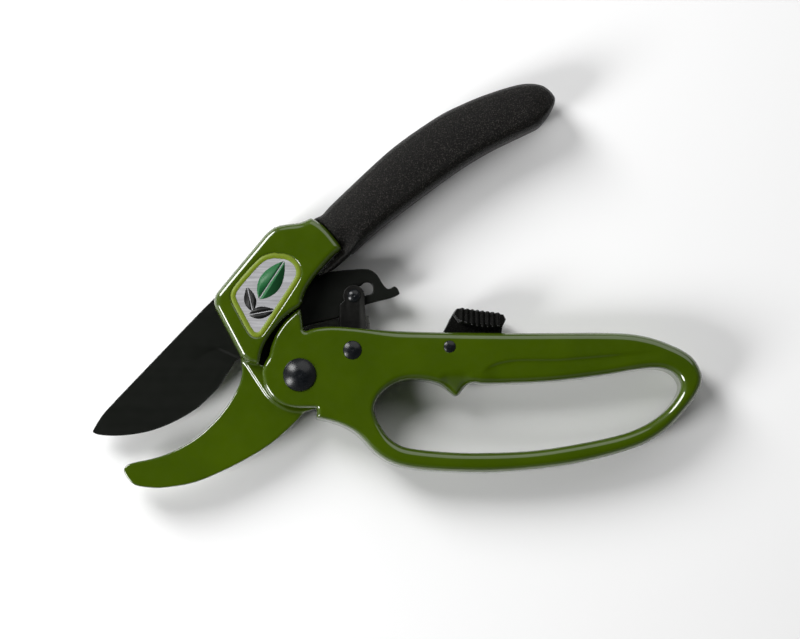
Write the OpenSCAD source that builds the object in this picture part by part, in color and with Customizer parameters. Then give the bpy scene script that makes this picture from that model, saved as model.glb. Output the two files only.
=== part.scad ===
// Ratchet pruning shears, drawn in the pose with the handles half open.
// The main pivot's axis is the Z axis. The back of the pivot nut is at z = 0, the blade points
// to -X and the handles point to +X. The layers along Z are, from the back: nut, rear cheek,
// blade, pivot lug with the hook, front cheek, bolt head.

/* [Layers] */
// Back of the lower handle's rear cheek
cheek_back = 1.2; // [1.0:0.1:1.6]
// Thickness of the lower handle's rear cheek
rear_cheek_t = 5.2; // [5.0:0.1:5.4]
// Thickness of the blade and its tail
blade_t = 2.8; // [2.6:0.1:2.8]
// Thickness of the hook
hook_t = 3.7; // [3.0:0.1:3.9]
// Thickness of the pivot lug, which stands a little above the hook
lug_t = 4.5; // [4.4:0.1:4.6]
// Thickness of the lower handle's front cheek
front_cheek_t = 2.4; // [2.2:0.1:2.5]
// Thickness of the upper handle's head over the front cheek
roof_t = 2.0; // [1.8:0.1:2.4]

/* [Pivot] */
// Radius of the pivot bolt's shank
bolt_r = 3.5; // [3.0:0.1:3.8]
// Radius of the pivot bolt's domed head
bolt_head_r = 5.5; // [5.0:0.1:6.5]
// Height of the pivot bolt's domed head
bolt_head_h = 2.4; // [1.6:0.1:2.6]
// Width of the hexagonal nut across its flats
nut_flats = 10; // [9.6:0.1:11]
// Running clearance on radius of every pivot
running_gap = 0.05; // [0.02:0.01:0.08]

/* [Ratchet] */
// How far the blade turns from one notch of its tail to the next, in degrees
notch_turn = 16; // [14:1:16]
// Turns of the link for each turn of the blade
link_ratio = 2.5; // [2.4:0.05:2.5]
// Radius of the drive pin that sits in the notch
drive_pin_r = 1.4; // [1.2:0.1:1.5]
// Thickness of each of the link's two plates
link_plate_t = 1.6; // [1.4:0.1:1.6]

/* [Grip] */
// Thickness of the grip sleeve
grip_t = 19; // [16:0.5:19]
// Width of the tang inside the grip
tang_w = 8; // [6:0.5:9]

/* [Thumb latch] */
// Thickness of the latch's body
latch_t = 6; // [4:0.5:7]
// Depth of the thumb pad, across the handle
pad_depth = 11; // [8:0.5:12]
// Number of ribs on the thumb pad
pad_ribs = 8; // [5:1:9]

/* [Hidden] */
$fn = 64;
steps = 4; // straight pieces between two points of a smooth outline
gap = 0.1; // space between flat faces that slide
green = "#3c5208";
black = "#1c1c1c";
steel = "#9a9a98";

// Levels along Z
washer_t = 0.4;
cheek_in_back = cheek_back + rear_cheek_t;
blade_back = cheek_in_back + washer_t;
blade_front = blade_back + blade_t;
lug_back = blade_front + gap;
hook_front = lug_back + hook_t;
lug_front = lug_back + lug_t;
cheek_in_front = lug_front + washer_t;
cheek_front = cheek_in_front + front_cheek_t;
roof_back = cheek_front + 0.2;
roof_front = roof_back + roof_t;
nut_h = 2.4;
nut_seat = nut_h + 0.6;
channel_back = 3.8;
grip_back = 0.4;
tang_back = 5;
tang_front = 14.5;
neck_r = 45; // the tail passes behind the head inside this radius
link_sweep_front = 13.2; // in front of the drive pin's head
spring_well_r = 8; // the return spring's well in the pivot lug
spring_well_back = lug_back + 1.1;
spring_r = 6;
spring_wire_r = 0.7;
washer_r = 9.4;
rear_washer_r = 7.2;
rear_well_r = 7.6; // the nut's well in the rear cheek
bushing_r = bolt_r + 1;
link_gap = 0.2; // space between the blade and each link plate's back
link_rear = blade_back - link_gap - link_plate_t;
link_front = blade_front + 0.3;
link_rivet_r = 2;
notch_room = 0.35; // play of the drive pin in its slot
mid = (cheek_back + cheek_front) / 2;

// Places of the axes
main_pivot = [0, 0];
link_pivot = [17.5, 8.3];
drive_pin_at = [18.2, 26.9];
latch_pivot = [49.9, 9.6];
link_len = norm(drive_pin_at - link_pivot);
link_dir = atan2(drive_pin_at[1] - link_pivot[1], drive_pin_at[0] - link_pivot[0]);

// The place of the drive pin in the blade's own frame when the blade has turned back by t
function turned(p, a) = [p[0] * cos(a) - p[1] * sin(a), p[0] * sin(a) + p[1] * cos(a)];
function polar(r, a) = [r * cos(a), r * sin(a)];
function pin_in_tail(t) = turned(link_pivot + polar(link_len, link_dir - link_ratio * t), t);

// A smooth open line through points: a Catmull-Rom curve with mirrored ends
function bend(a, b, c, d, t) =
    0.5 * (2 * b + (c - a) * t + (2 * a - 5 * b + 4 * c - d) * t * t
    + (3 * b - a - 3 * c + d) * t * t * t);
function smooth(p) = let (n = len(p)) [
    for (i = [0 : n - 2], k = [0 : steps - 1])
        bend(i == 0 ? 2 * p[0] - p[1] : p[i - 1], p[i], p[i + 1],
             i == n - 2 ? 2 * p[n - 1] - p[n - 2] : p[i + 2], k / steps),
    p[n - 1]
];
function arc(c, r, a, b, n = 16) = [for (i = [0 : n]) c + polar(r, a + (b - a) * i / n)];

// Upper handle: the head's left side and top, then the slanted line where the grip starts
head_left = [[-19.5, 6], [-23.7, 14], [-27.6, 21.5], [-28.4, 23.7], [-28, 26.2], [-26.5, 28.5],
    [-14, 43.7], [-11, 47.2], [-8, 49.4], [-4, 50.3], [0, 50.8], [3.8, 52.4]];
head_right = [[6.6, 50.8], [9.2, 48.5], [11.6, 45.6], [13.8, 42.2], [11.8, 40.3], [8.4, 36.7],
    [4.6, 32], [2, 27.8], [0.7, 24], [0.2, 22.9]];
head_inner = [[0.2, 22.9], [-4.8, 19.4], [-8.5, 15.1], [-11.3, 10.8], [-12.7, 7.2], [-13.5, 3.6]];
head_outline = concat(smooth(head_left), smooth(head_right), smooth(head_inner), [[-16.9, 4]]);
pad_edge = [[-19.5, 6], [-16.9, 2.5], [-13.6, -2.6], [-10.6, -6.9], [-8.2, -9.2]];
pad_r = 12.2;
hook_inner = [[-19.5, 6], [-19, 2], [-19.6, -2], [-22.3, -7.7], [-27.1, -14.3], [-33.2, -20.1],
    [-39.5, -24.1], [-46.8, -27.2], [-55.2, -29.1], [-57.4, -30.2], [-58.1, -32], [-56.2, -35.1],
    [-53.8, -36.7], [-48.8, -37.4], [-44.2, -37.3], [-36.2, -36], [-28.2, -33.1], [-16.8, -27.4],
    [-8.2, -21.8], [-1.2, -15.3], [0.6, -13.3]];
label_panel = [[-8.7, 40.4], [-3.8, 39.7], [-0.6, 37.2], [0.4, 33.8], [-1, 30.2], [-6.8, 21.2],
    [-11, 14.8], [-12.9, 12.6], [-15.2, 12.4], [-17.2, 14.2], [-20.4, 20], [-22.7, 24.6],
    [-22.8, 27.2], [-21, 30.2], [-15.5, 36.6], [-12.2, 39.4], [-8.7, 40.4]];

// The label plate lies in a shallow recess, this far inside its edge
label_recess = 1;
label_t = 0.5;
label_margin = 1.2;

// Room under the head for the link, and then for the front cheek's horn as [radius, angle]
// about the main pivot
link_room = [[-2, 13.4], [28, 13.4], [28, 44], [-2, 44]];
horn_room = [[24, 40], [23.2, 75], [23.2, 114], [20.5, 123], [18, 134], [15.4, 149], [13.4, 166],
    [13.2, 185]];

// Lower handle
horn = [[-12.6, 0.6], [-12, 3.2], [-10.3, 6.1], [-9.5, 9.5], [-7.8, 13.8], [-5.2, 17.6], [-2.7, 20.1],
    [-0.3, 22.2]];
horn_side = [[0.3, 22], [0.8, 19], [1.4, 14.3]];
handle_outer = [[1.4, 14.3], [4.5, 15.5], [7.8, 16.1], [13.4, 16.2], [23.7, 15.4], [36.8, 14.8],
    [68, 14.4], [104, 14.6], [115.8, 13.4], [123.8, 10.8], [129.4, 8], [132.4, 5.2], [134.4, 1],
    [134.2, -3], [131.4, -8], [125.2, -15.3], [119.8, -19.8], [112, -23.8], [98.5, -27.7],
    [85, -30.2], [66, -32], [48.2, -31.8], [37, -30.8], [30.5, -29], [25.2, -25.6],
    [20.2, -20.2], [16.2, -17.4], [11.5, -15.5], [5.6, -14.1]];
finger_hole = [[26.1, -15.3], [24.9, -11.8], [25.8, -8], [28.5, -4.9], [32, -2.6], [36.5, -1.3],
    [42, -1.5], [47.2, -2.9], [50.6, -5.6], [52.4, -6.6], [53.8, -5.6], [55.6, -3.2],
    [58, -2.2], [63, -2.6], [82.5, -1.8], [99.8, 0.2], [113, 2.4], [119.5, 2.9], [124, 1.8],
    [127, -1.3], [127, -5], [123.6, -10], [119.2, -13.8], [113.5, -17.1], [105, -20],
    [89.8, -23.1], [76, -25], [60, -25.6], [48, -25.3], [37.2, -24.2], [32.8, -22.8],
    [29.2, -20], [26.1, -15.3]];
cheek_edge = [[6, -10.8], [2, -10.9], [-2, -10.8], [-5.8, -9.8], [-9.1, -7.6], [-11.5, -4], [-12.6, 0.6]];
cheek_room_r = 13.2; // the head stops this far from the cheek's round end
lug_room_r = 13;
fork_slot = [[12.9, 4], [12.9, 30], [-30, 30], [-30, -40], [2.4, -40]];
link_channel = [[10.5, 30], [10.5, 12], [13, 2.6], [22, 2.6], [36, 10], [37, 30]];
latch_pocket = [[44.6, 30], [44.6, 4.4], [54, 4.4], [71, 10], [71, 30]];

// Blade and tail
blade_back_edge = [[1, 33], [-10, 36], [-22, 31], [-28.4, 26], [-46, 7.7], [-62.6, -9.9],
    [-66.4, -14.6], [-68.7, -18.8]];
blade_edge = [[-68.7, -18.8], [-66.2, -19.7], [-61, -20], [-55, -19.5], [-48.5, -18.1],
    [-41.5, -15.3], [-34.6, -11.3], [-30.8, -8], [-26.1, -3], [-21, 5.3], [-17, 6.2],
    [-12.4, 3.3]];
hub_r = 10.5;
notch_r = 2.15;
tail_under = [[2, 11.4], [0.6, 14.2], [1.2, 16.5], [4.4, 17.6], [8.5, 18.6], [13.2, 19.9],
    [22.1, 24.1], [30.8, 26.4], [33.7, 27.8]];
tail_top = [[33.7, 27.8], [33, 29.5], [31.8, 30.3], [30.1, 29.4], [29, 29.9], [27.7, 31.5],
    [26.2, 34], [24, 35.7], [20.8, 36.1], [11, 35.2], [1, 33]];

// Link
link_top_r = 3.6;
link_foot = [[13.4, 15], [13.5, 24]];
link_shoulder = [[21.8, 24], [22.7, 15]];
link_foot_r = 4.6;
link_leg = [[21.2, 6.9], [21.9, 7.3], [23.9, 14], [23.3, 20.4], [22.5, 20.4], [23.1, 14],
    [20.9, 8.4]];

// Grip sleeve and the tang inside it
grip_outline = [[3.8, 52.4], [7.3, 53.6], [10.8, 57.4], [25.5, 71.5], [33.7, 78.5], [45.8, 86.9],
    [53.4, 90.9], [61.3, 94.3], [70.2, 97.3], [76, 98.5], [81.2, 98], [84.6, 95.5], [85.7, 92.9],
    [84, 88.4], [81.5, 85.2], [78.8, 83.2], [63.8, 75.8], [50.8, 67.5], [27.5, 49.8], [17, 40.2],
    [11.4, 35.3], [6.6, 33]];
tang_axis = [[3, 43.5], [16.5, 51.5], [32, 64.5], [48, 75.5], [70, 87.5]];
cavity_gap = 0.1;
grip_steps = [[0, 3.6], [1.4, 1.2], [3.4, 0]]; // [inset in plan, fall from each face]

// Thumb latch
latch_body = [[48.1, 14.8], [50.5, 19.6], [52.2, 22.4], [68.3, 20.2], [67.6, 14.2], [66.5, 11.5],
    [54, 6.2]];
pad_outline = [[51.4, 20.8], [52.4, 22.5], [53.6, 22.6], [68, 20.6], [68.9, 19], [68, 17],
    [53.5, 18]];
latch_leaf = [[55.5, 5.1], [70.4, 10.1], [70.4, 10.6], [60, 7.6], [55.3, 5.6]];
first_rib = [54.4, 22.2];
rib_run = [13, -1.8];
latch_hub_r = 4;
latch_pin_r = 1.5;
latch_room = 0.4; // space beside the latch in its pocket
rib_r = 0.62;

module at(p, z) translate([p[0], p[1], z]) children();
module slab(z0, z1) translate([0, 0, z0]) linear_extrude(z1 - z0) children();
module bore(p, r, z0, z1) at(p, z0) cylinder(r = r, h = z1 - z0);
module ring(p, r_in, r_out, z0, z1) difference() {
    bore(p, r_out, z0, z1);
    bore(p, r_in, z0 - 1, z1 + 1);
}

// A low domed rivet head that starts at z and rises by h, or falls where h is negative
module dome(p, r, h, z) {
    ball_r = (r * r + h * h) / (2 * abs(h));
    side = h > 0 ? 1 : -1;
    at(p, z) mirror([0, 0, h > 0 ? 0 : 1]) rotate_extrude()
        polygon(concat([[0, 0]], [for (i = [0 : 8]) let (a = asin(r / ball_r) * (1 - i / 8))
            [ball_r * sin(a), ball_r * cos(a) - ball_r + abs(h)]]));
}

module blade_plan() difference() {
    polygon(concat(smooth(blade_back_edge), smooth(blade_edge), arc(main_pivot, hub_r, 165, 430, 40),
        smooth(tail_under), smooth(tail_top)));
    circle(r = bushing_r);
}

module upper_handle() color(green) difference() {
    union() {
        slab(lug_back, hook_front) polygon(concat(smooth(hook_inner), arc(main_pivot, pad_r, -80, 165, 40)));
        slab(lug_back, lug_front)
            polygon(concat(smooth(pad_edge), arc(main_pivot, pad_r, 228, 525, 48)));
        slab(lug_back, roof_front) polygon(head_outline);
        slab(tang_back, tang_front) difference() {
            tang_plan(tang_w);
            circle(r = neck_r);
        }
        slab(tang_back, roof_front) difference() {
            polygon(head_outline);
            circle(r = neck_r);
        }
    }
    slab(lug_front, roof_back) polygon(concat([[0, 0]], smooth([for (q = horn_room) polar(q[0], q[1])])));
    bore(main_pivot, cheek_room_r, lug_front, roof_front + 1);
    slab(lug_back - 1, lug_front + gap) polygon(link_room);
    bore(main_pivot, spring_well_r, spring_well_back, lug_front + 1);
    bore(main_pivot, bolt_r + running_gap, 0, roof_front);
    slab(roof_front - label_recess, roof_front + 1) polygon(smooth(label_panel));
}

// The tang follows the middle of the grip
module tang_plan(w) polygon(concat(
    [for (i = [0 : len(tang_axis) - 1]) tang_axis[i] + w / 2 * tang_side(i)],
    [for (i = [len(tang_axis) - 1 : -1 : 0]) tang_axis[i] - w / 2 * tang_side(i)]));
function tang_side(i) = let (
    a = tang_axis[max(i - 1, 0)],
    b = tang_axis[min(i + 1, len(tang_axis) - 1)],
    d = (b - a) / norm(b - a)) [-d[1], d[0]];

module label_plate() color(steel)
    slab(roof_front - label_recess, roof_front - label_recess + label_t)
        offset(delta = -label_margin) polygon(smooth(label_panel));

module grip_sleeve() color(black) difference() {
    union() {
        for (step = grip_steps)
            slab(grip_back + step[1], grip_back + grip_t - step[1]) offset(delta = -step[0]) grip_plan();
    }
    slab(tang_back - cavity_gap, tang_front + cavity_gap) tang_plan(tang_w + 2 * cavity_gap);
    // The head's end face, and the room that the tail and the link sweep below the sleeve's corner
    slab(tang_back - cavity_gap, roof_front + 1) offset(delta = cavity_gap) polygon(head_outline);
    slab(grip_back - 1, link_sweep_front) circle(r = neck_r);
}
module grip_plan() polygon(smooth(grip_outline));

module front_washer() color(steel)
    ring(main_pivot, bolt_r + running_gap, washer_r, lug_front, cheek_in_front);

module return_spring() color(steel) for (z = [lug_back + 1.9, lug_front - 0.8])
    at(main_pivot, z) rotate_extrude() translate([spring_r, 0]) circle(r = spring_wire_r);

module pivot_bolt() color(black) union() {
    bore(main_pivot, bolt_r, 0, cheek_front);
    dome(main_pivot, bolt_head_r, bolt_head_h, cheek_front);
}

module pivot_nut() color(steel) difference() {
    at(main_pivot, 0) cylinder(r = nut_flats / sqrt(3), h = nut_h, $fn = 6);
    bore(main_pivot, bolt_r, -1, nut_h + 1);
}

module rear_washer() color(steel) ring(main_pivot, bolt_r, rear_washer_r, nut_h, nut_seat);

module lower_handle() color(green) difference() {
    slab(cheek_back, cheek_front) difference() {
        polygon(concat(smooth(horn), smooth(horn_side), smooth(handle_outer),
            smooth(cheek_edge)));
        polygon(smooth(finger_hole));
    }
    // Fork slot for the blade and the pivot lug
    slab(cheek_in_back, cheek_in_front)
        polygon(concat(arc(main_pivot, lug_room_r, -72, 8, 16), fork_slot));
    // Channel for the link
    slab(channel_back, cheek_in_front) polygon(link_channel);
    // Pocket for the thumb latch
    slab(mid - latch_t / 2 - latch_room, mid + latch_t / 2 + latch_room) polygon(latch_pocket);
    bore(main_pivot, bolt_r + running_gap, 0, cheek_front + 1);
    bore(main_pivot, rear_well_r, 0, nut_seat);
    bore(link_pivot, link_rivet_r, 0, cheek_front + 1);
    bore(latch_pivot, latch_pin_r, 0, cheek_front + 1);
}

module link_rivet() color(black) union() {
    bore(link_pivot, link_rivet_r, cheek_back, cheek_front);
    dome(link_pivot, 3.1, 1, cheek_front);
    dome(link_pivot, 3.1, -0.9, cheek_back);
}

module latch_pin() color(black) union() {
    bore(latch_pivot, latch_pin_r, cheek_back, cheek_front);
    dome(latch_pivot, 2, 0.6, cheek_front);
    dome(latch_pivot, 2, -0.6, cheek_back);
}

// A bent leaf at the foot of the latch's pocket, which holds the latch at either end
module latch_spring() color(steel) slab(mid - 2, mid + 2)
    polygon(latch_leaf);

module blade() color(black) difference() {
    slab(blade_back, blade_front) blade_plan();
    slab(blade_back - 1, blade_front + 1) hull()
        for (t = [0, notch_turn / 2, notch_turn])
            translate(pin_in_tail(t)) circle(r = drive_pin_r + notch_room);
    for (t = [0, notch_turn]) bore(pin_in_tail(t), notch_r, blade_back - 1, blade_front + 1);
}

module blade_bushing() color(steel)
    ring(main_pivot, bolt_r + running_gap, bushing_r, blade_back, blade_front);

module blade_washer() color(steel)
    ring(main_pivot, bolt_r + running_gap, washer_r, cheek_in_back, blade_back);

module link_plate(z) difference() {
    slab(z, z + link_plate_t) polygon(concat(link_foot,
        arc(drive_pin_at, link_top_r, 205, -5, 20), link_shoulder,
        arc(link_pivot, link_foot_r, 10, -190, 24)));
    bore(link_pivot, link_rivet_r + running_gap, z - 1, z + link_plate_t + 1);
    bore(drive_pin_at, drive_pin_r, z - 1, z + link_plate_t + 1);
}
module link_front_plate() color(black) link_plate(link_front);
module link_rear_plate() color(black) link_plate(link_rear);
module link_spacer() color(steel)
    ring(link_pivot, link_rivet_r + running_gap, 3.2, blade_back - link_gap, link_front);

module drive_pin() color(black) union() {
    bore(drive_pin_at, drive_pin_r, link_rear, link_front + link_plate_t);
    dome(drive_pin_at, 2.2, 1, link_front + link_plate_t);
    dome(drive_pin_at, 2.2, -0.7, link_rear);
}

// A torsion spring whose long leg lies along the link's side
module link_spring() color(steel) union() {
    ring(link_pivot, 3.3, 4.3, blade_back, blade_front);
    slab(blade_back, blade_front) polygon(link_leg);
}

module thumb_latch() color(black) difference() {
    union() {
        slab(mid - latch_t / 2, mid + latch_t / 2) polygon(latch_body);
        bore(latch_pivot, latch_hub_r, mid - latch_t / 2, mid + latch_t / 2);
        slab(mid - pad_depth / 2, mid + pad_depth / 2) polygon(pad_outline);
        for (i = [0 : pad_ribs - 1])
            bore(first_rib + rib_run * i / pad_ribs, rib_r, mid - pad_depth / 2, mid + pad_depth / 2);
    }
    bore(latch_pivot, latch_pin_r + running_gap, 0, cheek_front);
}

upper_handle();
label_plate();
grip_sleeve();
front_washer();
return_spring();
pivot_bolt();
pivot_nut();
rear_washer();
lower_handle();
link_rivet();
latch_pin();
latch_spring();
blade();
blade_bushing();
blade_washer();
link_front_plate();
link_rear_plate();
link_spacer();
drive_pin();
link_spring();
thumb_latch();
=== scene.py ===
"""Ratchet pruning shears on a pale floor, with their studio lights and their camera.

Lengths are in metres, and MM turns millimetres into metres. The main pivot is the Z axis, and Z is 0 at
the back of its nut. The blade points towards -X, and the front, towards +Z, faces the camera.
"""
import math

import bmesh
import bpy
import numpy as np
from mathutils import Matrix, Vector, kdtree


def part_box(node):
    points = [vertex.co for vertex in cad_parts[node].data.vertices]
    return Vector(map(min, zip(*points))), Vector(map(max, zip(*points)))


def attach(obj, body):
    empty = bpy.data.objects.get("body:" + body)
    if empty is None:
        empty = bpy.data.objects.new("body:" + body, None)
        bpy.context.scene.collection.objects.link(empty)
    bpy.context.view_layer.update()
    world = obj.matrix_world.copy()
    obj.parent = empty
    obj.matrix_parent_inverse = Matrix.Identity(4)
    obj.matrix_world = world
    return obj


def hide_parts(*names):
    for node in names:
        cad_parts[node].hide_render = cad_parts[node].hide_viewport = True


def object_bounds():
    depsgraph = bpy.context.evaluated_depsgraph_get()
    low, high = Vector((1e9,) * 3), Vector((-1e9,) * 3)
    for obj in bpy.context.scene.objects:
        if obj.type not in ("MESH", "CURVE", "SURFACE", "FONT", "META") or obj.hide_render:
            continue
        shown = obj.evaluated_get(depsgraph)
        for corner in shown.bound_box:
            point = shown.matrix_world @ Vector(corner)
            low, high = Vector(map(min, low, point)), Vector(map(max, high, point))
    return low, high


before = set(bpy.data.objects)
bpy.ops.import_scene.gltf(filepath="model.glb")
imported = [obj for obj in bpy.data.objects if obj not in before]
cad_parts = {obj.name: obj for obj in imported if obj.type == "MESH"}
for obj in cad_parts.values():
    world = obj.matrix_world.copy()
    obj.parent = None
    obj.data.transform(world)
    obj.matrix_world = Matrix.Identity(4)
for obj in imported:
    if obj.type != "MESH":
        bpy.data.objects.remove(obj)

MM = 0.001
CAD_BOX = [list(corner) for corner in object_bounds()]

# Heights of the layers
HEAD_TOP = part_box("upper_handle")[1].z
LABEL_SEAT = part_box("label_plate")[0].z
LABEL_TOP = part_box("label_plate")[1].z
LOWER_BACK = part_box("lower_handle")[0].z
LOWER_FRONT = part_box("lower_handle")[1].z
BLADE_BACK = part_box("blade")[0].z
BLADE_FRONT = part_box("blade")[1].z
GRIP_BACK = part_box("grip_sleeve")[0].z
GRIP_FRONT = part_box("grip_sleeve")[1].z


# ---------------------------------------------------------------- camera, lights and floor

# The camera looks at AIM from slightly left and below, and sees VIEW_WIDTH of the shears' plane
VIEW_WIDTH = 266.67 * MM
AIM = Vector((33.5 * MM, 18.8 * MM, 14 * MM))
FROM_LEFT = math.radians(3)
FROM_BELOW = math.radians(4.5)
LENS = 180
SENSOR = 36

FLOOR_HALF = 3
FLOOR_GAP = 0.2 * MM


def make_camera():
    """A long lens straight above the shears, a few degrees to the left and below."""
    data = bpy.data.cameras.new("camera")
    data.lens = LENS
    data.sensor_width = SENSOR
    distance = VIEW_WIDTH * LENS / SENSOR
    away = Vector((-math.sin(FROM_LEFT), -math.sin(FROM_BELOW), 1)).normalized()
    cam = bpy.data.objects.new("camera", data)
    bpy.context.scene.collection.objects.link(cam)
    right = Vector((0, 1, 0)).cross(away).normalized()
    turn = Matrix((right, away.cross(right), away)).transposed()
    cam.matrix_world = Matrix.Translation(AIM + away * distance) @ turn.to_4x4()
    data.clip_start = 0.05
    data.clip_end = 20
    bpy.context.scene.camera = cam


def area_light(name, place, size, power):
    """An oval soft box that faces the shears."""
    data = bpy.data.lights.new(name, "AREA")
    data.shape = "ELLIPSE"
    data.size, data.size_y = size
    data.energy = power
    lamp = bpy.data.objects.new(name, data)
    bpy.context.scene.collection.objects.link(lamp)
    lamp.location = place
    lamp.rotation_mode = "QUATERNION"
    lamp.rotation_quaternion = (AIM - Vector(place)).to_track_quat("-Z", "Y")


def make_world():
    """Dark straight above, so that flat paint shows its own colour, and pale towards the horizon."""
    world = bpy.data.worlds.new("studio")
    world.use_nodes = True
    tree = world.node_tree
    coords = tree.nodes.new("ShaderNodeTexCoord")
    split = tree.nodes.new("ShaderNodeSeparateXYZ")
    ramp = tree.nodes.new("ShaderNodeValToRGB")
    ramp.color_ramp.elements[0].position = 0.45
    ramp.color_ramp.elements[0].color = (1, 1, 1, 1)
    ramp.color_ramp.elements[1].position = 0.8
    ramp.color_ramp.elements[1].color = (0.02, 0.02, 0.02, 1)
    background = tree.nodes["Background"]
    background.inputs["Strength"].default_value = 0.16
    tree.links.new(coords.outputs["Generated"], split.inputs["Vector"])
    tree.links.new(split.outputs["Z"], ramp.inputs["Fac"])
    tree.links.new(ramp.outputs["Color"], background.inputs["Color"])
    bpy.context.scene.world = world


def make_lights():
    """Two small boxes on the left, whose glints run along the rounded edges, and a wide pale fill."""
    area_light("upper_left", (-0.62, 0.66, 0.72), (0.5, 0.75), 12)
    area_light("lower_left", (-0.86, -0.50, 0.66), (0.45, 0.65), 11.5)
    area_light("fill", (0.45, 1.0, 0.95), (1.5, 1.5), 6)


def make_floor():
    """White matt paper just below the shears."""
    mesh = bpy.data.meshes.new("floor")
    low = min(CAD_BOX[0][2], 0) - FLOOR_GAP
    signs = [(-1, -1), (1, -1), (1, 1), (-1, 1)]
    corners = [(x * FLOOR_HALF, y * FLOOR_HALF, low) for x, y in signs]
    mesh.from_pydata(corners, [], [(0, 1, 2, 3)])
    floor = bpy.data.objects.new("floor", mesh)
    bpy.context.scene.collection.objects.link(floor)
    paint = Paint("floor_paper", (0.93, 0.93, 0.93), 0.6)
    paint.bump(paint.noise(900, 3), 0.02, 0.1 * MM)
    mesh.materials.append(paint.done())


def make_studio():
    """The room that the shears are seen in."""
    make_world()
    bpy.context.scene.view_settings.view_transform = "Standard"
    make_lights()
    make_floor()


# ---------------------------------------------------------------- materials

class Paint:
    """A procedural material, from noise in the piece's own coordinates, whose scales are per metre."""

    def __init__(self, name, colour, roughness, metallic=0.0, specular=0.5, coat=0.0, coat_ior=1.5):
        self.material = bpy.data.materials.new(name)
        self.material.use_nodes = True
        self.tree = self.material.node_tree
        self.shader = self.tree.nodes["Principled BSDF"]
        self.coords = self.tree.nodes.new("ShaderNodeTexCoord")
        self.shader.inputs["Base Color"].default_value = tuple(colour) + (1,)
        self.shader.inputs["Roughness"].default_value = roughness
        self.shader.inputs["Metallic"].default_value = metallic
        self.shader.inputs["Coat Weight"].default_value = coat
        self.shader.inputs["Coat Roughness"].default_value = 0.05
        self.shader.inputs["Coat IOR"].default_value = coat_ior
        self.shader.inputs["Specular IOR Level"].default_value = specular

    def link(self, output, socket):
        self.tree.links.new(output, socket)

    def mapped(self, scale=(1, 1, 1), angle=0.0):
        """The piece's coordinates, turned about Z and stretched."""
        node = self.tree.nodes.new("ShaderNodeMapping")
        node.inputs["Rotation"].default_value = (0, 0, angle)
        node.inputs["Scale"].default_value = scale
        self.link(self.coords.outputs["Object"], node.inputs["Vector"])
        return node.outputs["Vector"]

    def noise(self, scale, detail=4, vector=None, roughness=0.55):
        node = self.tree.nodes.new("ShaderNodeTexNoise")
        node.inputs["Scale"].default_value = scale
        node.inputs["Detail"].default_value = detail
        node.inputs["Roughness"].default_value = roughness
        self.link(vector or self.coords.outputs["Object"], node.inputs["Vector"])
        return node.outputs["Fac"]

    def cells(self, scale):
        """The distance to the middle of each cell of a foam."""
        node = self.tree.nodes.new("ShaderNodeTexVoronoi")
        node.inputs["Scale"].default_value = scale
        self.link(self.coords.outputs["Object"], node.inputs["Vector"])
        return node.outputs["Distance"]

    def ramp(self, value, stops):
        """value through a ramp of (place, colour) stops, where a colour is a grey or three numbers."""
        node = self.tree.nodes.new("ShaderNodeValToRGB")
        ramp = node.color_ramp
        while len(ramp.elements) < len(stops):
            ramp.elements.new(0.5)
        for element, (place, colour) in zip(ramp.elements, stops):
            element.position = place
            grey = isinstance(colour, (int, float))
            element.color = (colour, colour, colour, 1) if grey else tuple(colour) + (1,)
        self.link(value, node.inputs["Fac"])
        return node.outputs["Color"]

    def mix(self, factor, first, second):
        """The first colour where factor is 0, and the second where it is 1."""
        node = self.tree.nodes.new("ShaderNodeMix")
        node.data_type = "RGBA"
        self.link(factor, node.inputs["Factor"])
        node.inputs["A"].default_value = first + (1,)
        node.inputs["B"].default_value = second + (1,)
        return node.outputs["Result"]

    def edges(self):
        """How much the surface is an outer edge, from its pointiness."""
        node = self.tree.nodes.new("ShaderNodeNewGeometry")
        return self.ramp(node.outputs["Pointiness"], [(0.52, 0), (0.6, 1)])

    def base(self, output):
        self.link(output, self.shader.inputs["Base Color"])

    def rough(self, output):
        self.link(output, self.shader.inputs["Roughness"])

    def bump(self, height, strength, distance):
        """Adds a bump, on top of the bumps that are there already."""
        node = self.tree.nodes.new("ShaderNodeBump")
        node.inputs["Strength"].default_value = strength
        node.inputs["Distance"].default_value = distance
        self.link(height, node.inputs["Height"])
        previous = self.shader.inputs["Normal"].links
        if previous:
            self.link(previous[0].from_socket, node.inputs["Normal"])
        self.link(node.outputs["Normal"], self.shader.inputs["Normal"])

    def done(self):
        return self.material


def green_enamel():
    """Glossy olive enamel on a casting: slow waves of orange peel and a slight mottle."""
    p = Paint("green_enamel", (0.040, 0.077, 0.001), 0.3, specular=0.15, coat=1.0, coat_ior=1.72)
    mottle = p.noise(60, 3)
    p.base(p.ramp(mottle, [(0.3, (0.037, 0.068, 0)), (0.7, (0.046, 0.082, 0))]))
    p.rough(p.ramp(p.noise(500, 4), [(0.3, 0.28), (0.7, 0.38)]))
    p.bump(p.noise(260, 2), 0.06, 0.3 * MM)
    return p.done()


def grip_foam():
    """Black foamed rubber: a fine pebbled skin with pale flecks where its cells catch the light."""
    p = Paint("grip_foam", (0.005, 0.0046, 0.0042), 0.42, specular=0.12)
    flecks = p.noise(2300, 3, roughness=0.75)
    p.base(p.ramp(flecks, [(0.38, (0.001, 0.001, 0.0008)), (0.54, (0.004, 0.0037, 0.0032)),
                           (0.68, (0.050, 0.046, 0.040))]))
    p.rough(p.ramp(p.noise(900, 3), [(0.3, 0.34), (0.7, 0.5)]))
    p.bump(flecks, 0.7, 0.4 * MM)
    p.bump(p.cells(1300), 0.4, 0.25 * MM)
    return p.done()


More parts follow.
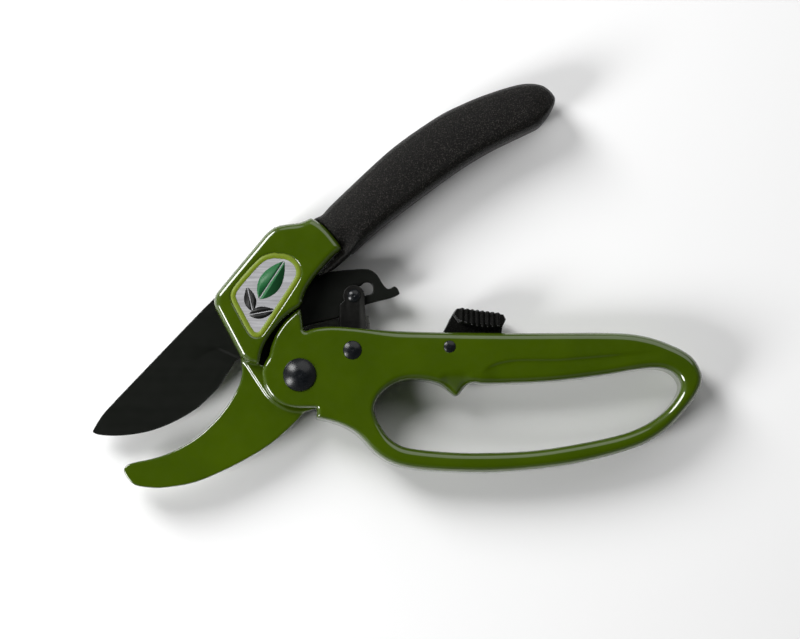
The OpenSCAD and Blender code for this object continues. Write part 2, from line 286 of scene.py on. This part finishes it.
def black_coating():
    """The blade's low-friction coating: near black, satin, with faint drag marks along the blade."""
    p = Paint("black_coating", (0.0055, 0.0063, 0.0050), 0.34, specular=0.2)
    spine = math.radians(47.66)
    streaks = p.noise(420, 5, p.mapped((0.05, 1, 1), -spine))
    p.base(p.ramp(streaks, [(0.3, (0.0046, 0.0054, 0.0042)), (0.75, (0.0062, 0.0070, 0.0056))]))
    p.rough(p.ramp(p.noise(300, 4), [(0.3, 0.32), (0.7, 0.38)]))
    p.bump(p.noise(3000, 2), 0.06, 0.05 * MM)
    return p.done()


def link_black():
    """Black oxide on the stamped link plates, a little rubbed at the edges."""
    p = Paint("link_black", (0.003, 0.003, 0.0026), 0.34, specular=0.2)
    p.base(p.mix(p.edges(), (0.002, 0.002, 0.0016), (0.03, 0.03, 0.028)))
    p.rough(p.ramp(p.noise(700, 4), [(0.3, 0.3), (0.7, 0.45)]))
    p.bump(p.noise(1800, 3), 0.1, 0.06 * MM)
    return p.done()


def rivet_black():
    """Blued steel of the pivot bolt and rivets, with a faint forging mottle."""
    p = Paint("rivet_black", (0.005, 0.006, 0.007), 0.26, specular=0.4)
    p.base(p.ramp(p.noise(700, 5), [(0.35, (0.004, 0.005, 0.006)), (0.7, (0.007, 0.008, 0.010))]))
    p.rough(p.ramp(p.noise(1500, 4), [(0.3, 0.22), (0.7, 0.34)]))
    return p.done()


def bright_steel():
    """Zinc-plated steel of the nut, washers and springs."""
    p = Paint("bright_steel", (0.46, 0.46, 0.44), 0.32, metallic=1.0)
    p.base(p.ramp(p.noise(500, 4), [(0.3, (0.38, 0.38, 0.36)), (0.7, (0.55, 0.55, 0.53))]))
    p.rough(p.ramp(p.noise(900, 4), [(0.3, 0.24), (0.7, 0.42)]))
    return p.done()


def brushed_label():
    """Brushed aluminium foil: fine streaks across the label."""
    p = Paint("brushed_label", (0.42, 0.42, 0.43), 0.36, metallic=0.25)
    streaks = p.noise(2600, 4, p.mapped((0.04, 1, 1), math.radians(38)))
    p.base(p.ramp(streaks, [(0.3, (0.33, 0.33, 0.34)), (0.7, (0.50, 0.50, 0.52))]))
    p.rough(p.ramp(streaks, [(0.3, 0.3), (0.7, 0.48)]))
    p.bump(streaks, 0.15, 0.03 * MM)
    return p.done()


def latch_plastic():
    """Black moulded nylon of the thumb latch."""
    p = Paint("latch_plastic", (0.003, 0.003, 0.0026), 0.24, specular=0.3)
    p.base(p.ramp(p.noise(400, 3), [(0.3, (0.003, 0.003, 0.0025)), (0.7, (0.0055, 0.0055, 0.005))]))
    p.rough(p.ramp(p.noise(1400, 3), [(0.3, 0.2), (0.7, 0.3)]))
    p.bump(p.noise(2400, 3), 0.12, 0.06 * MM)
    return p.done()


def ink_and_sheen_paint(name, colour):
    """Ink that lies a little unevenly on the foil, and the same slight unevenness in the label border's
    painted sheen.
    """
    p = Paint(name, colour, 0.45, specular=0.4)
    dark = tuple(c * 0.8 for c in colour)
    p.base(p.ramp(p.noise(2500, 3), [(0.3, dark), (0.6, colour)]))
    return p.done()


# ---------------------------------------------------------------- mesh tools

# Round the rivets' holes no wall counts as an outline
RIVET_ROOM = 4.2 * MM
# A wall's normal leans this little out of the plane
WALL_LEAN = 0.4
# A radius this small is a point on the axis
POLE = 1e-9


def new_object(name, mesh):
    obj = bpy.data.objects.new(name, mesh)
    bpy.context.scene.collection.objects.link(obj)
    return obj


def object_from(bm, name):
    """A new object from a bmesh, which is used up."""
    mesh = bpy.data.meshes.new(name)
    bm.to_mesh(mesh)
    bm.free()
    return new_object(name, mesh)


def points_of(mesh):
    """The places of the mesh's vertices, one row each."""
    flat = np.empty(len(mesh.vertices) * 3)
    mesh.vertices.foreach_get("co", flat)
    return flat.reshape(-1, 3)


def normals_of(mesh):
    flat = np.empty(len(mesh.vertices) * 3)
    mesh.vertex_normals.foreach_get("vector", flat)
    return flat.reshape(-1, 3)


def set_points(mesh, points):
    mesh.vertices.foreach_set("co", points.ravel())
    mesh.update()


def bake_modifiers(obj):
    """Applies every modifier of obj to its mesh."""
    graph = bpy.context.evaluated_depsgraph_get()
    graph.update()
    mesh = bpy.data.meshes.new_from_object(obj.evaluated_get(graph))
    obj.modifiers.clear()
    obj.data = mesh
    return mesh


def copy_node(node, name):
    """A new piece with the plain shape of a node, with its doubled vertices joined."""
    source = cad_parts[node]
    mesh = source.data.copy()
    mesh.transform(source.matrix_world)
    mesh.materials.clear()
    obj = new_object(name, mesh)
    bm = bmesh.new()
    bm.from_mesh(mesh)
    bmesh.ops.remove_doubles(bm, verts=bm.verts, dist=1e-6)
    bm.to_mesh(mesh)
    bm.free()
    return obj


def remesh(obj, voxel):
    """Rebuilds obj from even faces about as large as voxel."""
    mod = obj.modifiers.new("voxels", "REMESH")
    mod.mode = "VOXEL"
    mod.voxel_size = voxel
    return bake_modifiers(obj)


def relax(obj, rounds):
    """Evens out the surface, which also rounds its edges."""
    mod = obj.modifiers.new("relax", "SMOOTH")
    mod.iterations = rounds
    mod.factor = 0.5
    return bake_modifiers(obj)


def distance_to(places, points):
    """Distance in plan from each of points to the nearest of places."""
    tree = kdtree.KDTree(len(places))
    for i, place in enumerate(places):
        tree.insert((place[0], place[1], 0), i)
    tree.balance()
    return np.array([tree.find((x, y, 0))[2] for x, y in points[:, :2]])


def wall_points(mesh, low, high):
    """The vertices on upright walls between two heights, apart from the walls of the rivets' holes."""
    points, normals = points_of(mesh), normals_of(mesh)
    keep = (np.abs(normals[:, 2]) < WALL_LEAN) & (points[:, 2] > low) & (points[:, 2] < high)
    for node in ("pivot_bolt", "link_rivet", "latch_pin"):
        axis = sum(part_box(node), Vector()) / 2
        keep &= np.hypot(points[:, 0] - axis.x, points[:, 1] - axis.y) > RIVET_ROOM
    return points[keep]


def drop(distance, radius):
    """How far an edge rounded to radius falls at a distance in from the outline."""
    inside = np.clip(radius - distance, 0, radius)
    return radius - np.sqrt(np.maximum(radius ** 2 - inside ** 2, 0))


def ease(value, low, high):
    """0 below low, 1 above high and a smooth step between them."""
    t = np.clip((value - low) / (high - low), 0, 1)
    return t * t * (3 - 2 * t)


def finish_piece(obj, body, material, slot, *nodes):
    """Gives a piece its material and its body, and hides the nodes that it stands for; the slot is not
    used.
    """
    obj.data.materials.clear()
    obj.data.materials.append(material)
    for polygon in obj.data.polygons:
        polygon.use_smooth = True
    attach(obj, body)
    if nodes:
        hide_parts(*nodes)
    return obj


def lathe(name, profile, centre, segments=96):
    """A solid of revolution from (radius, height) points, listed from one end of the axis to the other."""
    bm = bmesh.new()
    turn = [2 * math.pi * k / segments for k in range(segments)]
    rings = []
    for radius, height in profile:
        if radius < POLE:
            places = [(centre[0], centre[1], height)]
        else:
            places = [(centre[0] + radius * math.cos(a), centre[1] + radius * math.sin(a), height)
                      for a in turn]
        rings.append([bm.verts.new(place) for place in places])
    for low, high in zip(rings, rings[1:]):
        for k in range(segments):
            n = (k + 1) % segments
            corners = [low[k % len(low)], low[n % len(low)], high[n % len(high)], high[k % len(high)]]
            corners = list(dict.fromkeys(corners))
            if len(corners) > 2:
                bm.faces.new(corners)
    bmesh.ops.recalc_face_normals(bm, faces=bm.faces)
    return object_from(bm, name)


def with_flats_joined(mesh):
    """A bmesh of mesh in which neighbouring faces in one plane are one face."""
    bm = bmesh.new()
    bm.from_mesh(mesh)
    bmesh.ops.dissolve_limit(bm, angle_limit=math.radians(1), verts=bm.verts, edges=bm.edges)
    return bm


def bevelled(obj, width, segments=3):
    """Rounds every sharp edge of a piece, after its flat faces are joined."""
    bm = with_flats_joined(obj.data)
    bm.to_mesh(obj.data)
    bm.free()
    mod = obj.modifiers.new("edges", "BEVEL")
    mod.width = width
    mod.segments = segments
    mod.limit_method = "ANGLE"
    mod.angle_limit = math.radians(35)
    bake_modifiers(obj)
    mod = obj.modifiers.new("weights", "WEIGHTED_NORMAL")
    mod.keep_sharp = True
    return obj


# ---------------------------------------------------------------- castings

# The rounding of the head's outline, and the layer under its top that the rounding may squeeze
HEAD_EDGE = 2.2 * MM
HEAD_LAYER = 4.8 * MM
# The head is hollow near the pivot, with room for the front cheek's horn under a thin roof
ROOF_EDGE = 1.6 * MM
ROOF_LAYER = 1.9 * MM
ROOF_REACH = 24.5 * MM
ROOF_LEFT = -14.5 * MM
ROOM_REACH = 25 * MM
ROOM_BACK = 13.8 * MM
ROOM_FRONT = 17.4 * MM

# The lower casting forks round the pivot into two cheeks, and is solid beyond HANDLE_START
FORK_END = 14 * MM
HANDLE_START = 30 * MM
CHEEK_LAYER = 2.2 * MM
CHEEK_EDGE = 1.3 * MM
HANDLE_EDGE = 2.5 * MM
# The sunken panel on the finger side, which fades out towards the loop's end
PANEL_START = 60.4 * MM
PANEL_CURVE = 15 * MM
PANEL_RISE = 5.6 * MM
PANEL_DEPTH = 0.7 * MM
PANEL_BOTTOM = -4 * MM
# The trigger stop, a pointed bump below the handle
TRIGGER = 52 * MM
TRIGGER_BOTTOM = -9 * MM
TRIGGER_FALL = 3.4 * MM

# The plain grip's faces step down twice towards its outline
RIM_WIDTH = 1.5 * MM
RIM_FALL = 3.6 * MM
SHOULDER_WIDTH = 3.5 * MM
SHOULDER_FALL = 1.2 * MM
# The full grip is rounded widely on its palm side and tightly on its finger side
PALM_ROUND = 11 * MM
PALM_FLATTENED = 0.55
FINGER_ROUND = 4 * MM
FINGER_FLATTENED = 0.9
GRIP_END = 18 * MM


def upper_casting(paint):
    """Head, hook and neck: the head's outline is rounded over, and every edge is softened."""
    obj = copy_node("upper_handle", "upper_casting")
    mesh = remesh(obj, 0.36 * MM)
    points = points_of(mesh)
    outline = wall_points(mesh, HEAD_TOP - 1.8 * MM, HEAD_TOP - 1.2 * MM)
    distance = distance_to(outline, points)
    from_pivot = np.hypot(points[:, 0], points[:, 1])
    roofed = (from_pivot < ROOF_REACH) & (points[:, 0] > ROOF_LEFT)
    layer = np.where(roofed, ROOF_LAYER, HEAD_LAYER)
    radius = np.where(roofed, ROOF_EDGE, HEAD_EDGE)
    low = HEAD_TOP - layer
    rounded = low + (points[:, 2] - low) * (1 - drop(distance, radius) / layer)
    points[:, 2] = np.where(points[:, 2] > low, rounded, points[:, 2])
    set_points(mesh, points)
    mesh = relax(obj, 9)
    # The room keeps its full size, so that the horn swings clear
    room = (from_pivot < ROOM_REACH) & (points[:, 2] > ROOM_BACK) & (points[:, 2] < ROOM_FRONT)
    room &= points[:, 1] > 0
    soft = points_of(mesh)
    soft[room] = points[room]
    set_points(mesh, soft)
    return finish_piece(obj, "upper", paint, "green_paint", "upper_handle")


def panel_line(x):
    """The upper edge of the sunken panel along the finger side of the lower handle."""
    rise = PANEL_RISE + np.clip(x - 86 * MM, 0, None) * 0.09
    start = np.clip((x - PANEL_START) / PANEL_CURVE, 0, 1)
    return rise * np.sqrt(1 - (1 - start) ** 2.4) - 0.4 * MM * (1 - start)


def panel(x, y):
    """How much a place lies inside the sunken panel, from 0 to 1."""
    inside = ease(panel_line(x) - y, -0.2 * MM, 0.9 * MM) * (y > PANEL_BOTTOM)
    return inside * ease(x, 59.5 * MM, 66 * MM) * (1 - ease(x, 100 * MM, 122 * MM))


def trigger_tip(x, y):
    """How near a place is to the trigger stop's tip, from 0 to 1."""
    beside = np.abs(x - TRIGGER)
    return ease(-y, -2 * MM, 6.8 * MM) * (1 - ease(beside, 2.5 * MM, 6 * MM)) * (y > TRIGGER_BOTTOM)


def lower_casting(paint):
    """Cheeks, handle and finger loop: round bars, with the sunken panel over the fingers."""
    obj = copy_node("lower_handle", "lower_casting")
    mesh = remesh(obj, 0.4 * MM)
    points = points_of(mesh)
    middle = (LOWER_BACK + LOWER_FRONT) / 2
    half = (LOWER_FRONT - LOWER_BACK) / 2
    outline = wall_points(mesh, LOWER_FRONT - 1.4 * MM, LOWER_FRONT - 0.6 * MM)
    distance = distance_to(outline, points)
    x, y = points[:, 0], points[:, 1]
    radius = CHEEK_EDGE + (HANDLE_EDGE - CHEEK_EDGE) * ease(x, 18 * MM, 34 * MM)
    fall = drop(distance, radius) + panel(x, y) * PANEL_DEPTH + trigger_tip(x, y) * TRIGGER_FALL
    # Beside the fork's slot only the front and back of the cheeks move, not their inner faces
    layer = CHEEK_LAYER + (half - CHEEK_LAYER) * ease(x, FORK_END, HANDLE_START)
    side = np.sign(points[:, 2] - middle)
    height = np.abs(points[:, 2] - middle)
    lowered = half - layer + (height - half + layer) * (1 - fall / layer)
    points[:, 2] = middle + side * np.where(height > half - layer, lowered, height)
    set_points(mesh, points)
    relax(obj, 6)
    return finish_piece(obj, "lower", paint, "green_paint", "lower_handle")


def grip(foam):
    """The foam sleeve: full and round on its palm side, and tighter on the side towards the fingers."""
    obj = copy_node("grip_sleeve", "grip")
    mesh = remesh(obj, 0.6 * MM)
    points = points_of(mesh)
    middle = (GRIP_BACK + GRIP_FRONT) / 2
    half = (GRIP_FRONT - GRIP_BACK) / 2
    normals = normals_of(mesh)
    # The sleeve's end that butts on the head stays square
    butt = (normals[:, 0] + normals[:, 1] < -0.8) & (points[:, 0] < GRIP_END)
    wall = (np.abs(normals[:, 2]) < WALL_LEAN) & ~butt
    # The outline is taken from a band just behind the rim
    wall &= (points[:, 2] > GRIP_FRONT - 5.5 * MM) & (points[:, 2] < GRIP_FRONT - 4.2 * MM)
    palm_side = wall & (normals[:, 1] > 0.3 * normals[:, 0])
    to_palm = distance_to(points[palm_side], points)
    to_fingers = distance_to(points[wall & ~palm_side], points)
    distance = np.minimum(to_palm, to_fingers)
    plain = np.select([distance < RIM_WIDTH, distance < SHOULDER_WIDTH],
                      [half - RIM_FALL, half - SHOULDER_FALL], half)
    palm_fall = drop(to_palm, PALM_ROUND) * PALM_FLATTENED
    finger_fall = drop(to_fingers, FINGER_ROUND) * FINGER_FLATTENED
    full = half - np.maximum(palm_fall, finger_fall)
    points[:, 2] = middle + np.clip((points[:, 2] - middle) / plain, -1, 1) * full
    set_points(mesh, points)
    relax(obj, 14)
    return finish_piece(obj, "upper", foam, "black_grip", "grip_sleeve")


# ---------------------------------------------------------------- blade and link

BEVEL_WIDTH = 4.5 * MM
EDGE_THICKNESS = 0.35 * MM
HOLLOW_DEPTH = 0.45 * MM
# The line across the blade where its hollow starts, from the cutting edge's heel to the spine
HEEL = Vector((-20.8, 6.7)) * MM
SPINE = Vector((-33.2, 12.3)) * MM


def cutter(coating):
    """The blade: ground to an edge from the back, with a shallow hollow on its front beyond the heel."""
    obj = copy_node("blade", "cutting_blade")
    mesh = remesh(obj, 0.3 * MM)
    points, normals = points_of(mesh), normals_of(mesh)
    x, y = points[:, 0], points[:, 1]
    thickness = BLADE_FRONT - BLADE_BACK
    # The bevel lifts the blade's back along the cutting edge, which faces down and to the right
    wall = np.abs(normals[:, 2]) < WALL_LEAN
    edge = points[wall & (normals[:, 1] < 0.35) & (normals[:, 0] > -0.75) & (x < -21 * MM)]
    near_edge = 1 - np.clip(distance_to(edge, points) / BEVEL_WIDTH, 0, 1)
    lift = near_edge * (thickness - EDGE_THICKNESS) * ease(x, -21 * MM, -24 * MM)
    # The hollow starts sharply at the heel and softly at the spine
    across = (SPINE - HEEL).normalized()
    beyond = (x - HEEL.x) * -across.y + (y - HEEL.y) * across.x
    along = (x - HEEL.x) * across.x + (y - HEEL.y) * across.y
    softness = 0.5 * MM + 9 * MM * ease(along, 6 * MM, 15 * MM)
    hollow = ease(beyond / softness, 0, 1) * HOLLOW_DEPTH
    depth = (points[:, 2] - BLADE_BACK) / thickness
    points[:, 2] += lift * (1 - depth)
    points[:, 2] -= hollow * depth
    set_points(mesh, points)
    relax(obj, 2)
    return finish_piece(obj, "cutter", coating, "black_steel", "blade")


def link_plates(black):
    """The two stamped plates of the link, with broken edges."""
    for side in ("front", "rear"):
        node = "link_%s_plate" % side
        plate = bevelled(copy_node(node, "link_plate_" + side), 0.3 * MM)
        finish_piece(plate, "link", black, "black_steel", node)


# ---------------------------------------------------------------- fasteners

def dome_profile(radius, rise, base, out, dimple):
    """A rivet head from its rim to its crown, with a dimple at the centre; out is 1 or -1 along Z."""
    steps = 14
    lip = 0.12 * rise
    profile = [(radius * 0.985, base), (radius, base + out * lip)]
    ball = (radius ** 2 + (rise - lip) ** 2) / (2 * (rise - lip))
    for k in range(1, steps + 1):
        r = radius * (1 - k / steps)
        h = rise - ball + math.sqrt(ball ** 2 - r ** 2)
        h -= dimple * math.exp(-((r / (0.16 * radius)) ** 2))
        profile.append((r, base + out * h))
    return profile


def rivet(name, node, body, material, shank, head, front_rise, back_rise, dimple):
    """A rivet or bolt with a domed head at the front, and one at the back unless back_rise is 0."""
    low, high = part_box(node)
    centre = (low + high) / 2
    if back_rise:
        back = low.z + back_rise
        profile = list(reversed(dome_profile(head, back_rise, back, -1, dimple * 0.6)))
        profile.append((shank, back))
    else:
        chamfer = 0.5 * MM
        profile = [(0, low.z), (shank - chamfer, low.z), (shank, low.z + chamfer)]
    front = high.z - front_rise
    profile.append((shank, front))
    profile += dome_profile(head, front_rise, front, 1, dimple)
    obj = lathe(name, profile, (centre.x, centre.y))
    return finish_piece(obj, body, material, "dark_rivet", node)


def fasteners(black, steel):
    """The blued bolt and rivets, and the plated nut."""
    # In mm: radii of the shank and the head, heights of the front and back domes, and the dimple
    rivets = [("pivot_screw", "pivot_bolt", "upper", (3.5, 5.5, 2.4, 0, 0.25)),
              ("link_rivet_round", "link_rivet", "lower", (2, 3.1, 1, 0.9, 0.12)),
              ("latch_rivet", "latch_pin", "lower", (1.5, 2, 0.6, 0.6, 0.08)),
              ("drive_rivet", "drive_pin", "link", (1.4, 2.2, 1, 0.7, 0.2))]
    for name, node, body, sizes in rivets:
        rivet(name, node, body, black, *[size * MM for size in sizes])
    nut = bevelled(copy_node("pivot_nut", "hex_nut"), 0.35 * MM)
    finish_piece(nut, "upper", steel, "spring_steel", "pivot_nut")


# ---------------------------------------------------------------- thumb latch

RIBS = 8
RIB_PITCH = 1.72 * MM
RIB_RADIUS = 0.55 * MM
FIRST_RIB = 54.2 * MM
# The pad's top falls to the right from its left corner
PAD_LEFT = 53.6 * MM
PAD_TOP = 22.35 * MM
PAD_SLOPE = 0.128


def capsule(name, start, end, radius):
    """A round rod between two points with ball ends."""
    axis = Vector(end) - Vector(start)
    rings = 6
    angles = [-math.pi / 2 * (1 - k / rings) for k in range(rings + 1)]
    profile = [(radius * math.cos(a), radius * math.sin(a)) for a in angles]
    profile += [(r, axis.length - h) for r, h in reversed(profile)]
    obj = lathe(name, profile, (0, 0), 20)
    obj.data.transform(axis.to_track_quat("Z", "Y").to_matrix().to_4x4())
    obj.data.transform(Matrix.Translation(Vector(start)))
    return obj


def join(name, objects):
    """One piece from several meshes."""
    bm = bmesh.new()
    for obj in objects:
        bm.from_mesh(obj.data)
        bpy.data.objects.remove(obj)
    return object_from(bm, name)


def thumb_latch(plastic):
    """The latch, with upright ribs that wrap over the pad's top and both of its sides."""
    body = copy_node("thumb_latch", "latch_body")
    low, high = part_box("thumb_latch")
    ribs = []
    for i in range(RIBS):
        x = FIRST_RIB + RIB_PITCH * i
        top = PAD_TOP - PAD_SLOPE * (x - PAD_LEFT)
        # The ribs in the middle reach further down the pad's sides
        reach = 3.6 * MM + 1.1 * MM * math.sin(math.pi * (i + 0.5) / RIBS)
        for z in (low.z, high.z):
            ribs.append(capsule("rib", (x, top - reach, z), (x, top, z), RIB_RADIUS))
        ribs.append(capsule("rib", (x, top, low.z), (x, top, high.z), RIB_RADIUS))
    obj = join("latch", [body] + ribs)
    remesh(obj, 0.2 * MM)
    relax(obj, 2)
    return finish_piece(obj, "latch", plastic, "black_plastic", "thumb_latch")


# ---------------------------------------------------------------- label

# The printed leaves and the border's inner rim stand this far off the foil
INK = 0.06 * MM
MIDRIB = 0.18 * MM
SPRIG_SLANT = math.radians(51)


def flat_shape(name, outline, low, high):
    """A thin plate with a closed outline in plan."""
    bm = bmesh.new()
    face = bm.faces.new([bm.verts.new((x, y, low)) for x, y in outline])
    grown = bmesh.ops.extrude_face_region(bm, geom=[face])["geom"]
    tops = [v for v in grown if isinstance(v, bmesh.types.BMVert)]
    bmesh.ops.translate(bm, verts=tops, vec=(0, 0, high - low))
    bmesh.ops.recalc_face_normals(bm, faces=bm.faces)
    return object_from(bm, name)


def leaf_half(centre, angle, length, width, side):
    """The outline of half of a pointed leaf, beside its midrib."""
    steps = 18
    along = [k / steps for k in range(steps + 1)]
    bulge = [width * math.sin(math.pi * t ** 0.85) ** 0.9 for t in along]
    outer = [(length * (t - 0.5), side * (MIDRIB + out)) for t, out in zip(along, bulge)]
    inner = [(length * (t - 0.5), side * MIDRIB) for t in reversed(along[1:-1])]
    turn = math.cos(angle), math.sin(angle)
    return [(centre[0] + x * turn[0] - y * turn[1], centre[1] + x * turn[1] + y * turn[0])
            for x, y in outer + inner]


def plate_outline():
    """The label plate's outline in plan, in order round it."""
    obj = copy_node("label_plate", "outline")
    bm = with_flats_joined(obj.data)
    top = max(bm.faces, key=lambda face: face.normal.z * face.calc_area())
    outline = [corner.vert.co.xy.copy() for corner in top.loops]
    bm.free()
    bpy.data.objects.remove(obj)
    return outline


def spread(outline, distance):
    """The outline moved outwards by distance."""
    moved = []
    for i, point in enumerate(outline):
        along = (outline[(i + 1) % len(outline)] - outline[i - 1]).normalized()
        moved.append(point + Vector((along.y, -along.x)) * distance)
    return moved


def label_border(painted_border_sheen):
    """The border that slopes up from the plate to the recess's wall, coloured a light lime green as a
    painted reflection of light on the recess floor.
    """
    outline = plate_outline()
    # Its section, as distances out from the plate's outline and heights
    section = [(-0.5 * MM, LABEL_TOP), (-0.45 * MM, LABEL_TOP + INK), (0.2 * MM, LABEL_TOP + 2 * INK),
               (1.3 * MM, HEAD_TOP - 0.25 * MM), (1.4 * MM, LABEL_SEAT)]
    bm = bmesh.new()
    rings = [[bm.verts.new((p.x, p.y, z)) for p in spread(outline, out)] for out, z in section]
    for low, high in zip(rings, rings[1:] + rings[:1]):
        for k in range(len(outline)):
            n = (k + 1) % len(outline)
            bm.faces.new((low[k], low[n], high[n], high[k]))
    bmesh.ops.recalc_face_normals(bm, faces=bm.faces)
    finish_piece(object_from(bm, "label_border"), "upper", painted_border_sheen, "green_paint")


def label(foil, green, black, painted_border_sheen):
    """The label plate with its border, and a plain sprig of three leaves printed on it."""
    plate = bevelled(copy_node("label_plate", "label_foil"), 0.12 * MM, 2)
    finish_piece(plate, "upper", foil, "label_metal", "label_plate")
    label_border(painted_border_sheen)
    # Each leaf's centre in mm, its turn, its length and half width in mm, and its ink
    leaves = [((-9.4, 31.4), SPRIG_SLANT + 0.1, 15, 3.5, green),
              ((-16.6, 25.0), SPRIG_SLANT + 0.9, 8, 1.8, black),
              ((-12.6, 20.6), SPRIG_SLANT - 0.7, 8.5, 1.8, black)]
    for n, (centre, angle, length, width, paint) in enumerate(leaves):
        for side in (-1, 1):
            outline = leaf_half([c * MM for c in centre], angle, length * MM, width * MM, side)
            name = "label_leaf_%d_%s" % (n, "left" if side > 0 else "right")
            half = flat_shape(name, outline, LABEL_TOP - 0.02 * MM, LABEL_TOP + INK)
            finish_piece(half, "upper", paint, "label_metal")


# ---------------------------------------------------------------- everything

def plain_nodes(steel):
    """The washers, springs, bushing and spacer, whose plain shapes are right as they are."""
    for node in ("front_washer", "return_spring", "rear_washer", "latch_spring", "blade_bushing",
                 "blade_washer", "link_spacer", "link_spring"):
        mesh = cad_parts[node].data
        mesh.materials.clear()
        mesh.materials.append(steel)


make_camera()
make_studio()
enamel = green_enamel()
steel = bright_steel()
black_rivets = rivet_black()
upper_casting(enamel)
lower_casting(enamel)
grip(grip_foam())
cutter(black_coating())
link_plates(link_black())
fasteners(black_rivets, steel)
thumb_latch(latch_plastic())
green_ink = ink_and_sheen_paint("green_ink", (0.012, 0.12, 0.035))
black_ink = ink_and_sheen_paint("black_ink", (0.004, 0.004, 0.004))
# The border's lime green is a painted reflection: the recess floor shown lighter than the enamel, as if it
# caught the light
border_sheen_paint = ink_and_sheen_paint("border_sheen_paint", (0.155, 0.215, 0.006))
label(brushed_label(), green_ink, black_ink, border_sheen_paint)
plain_nodes(steel)
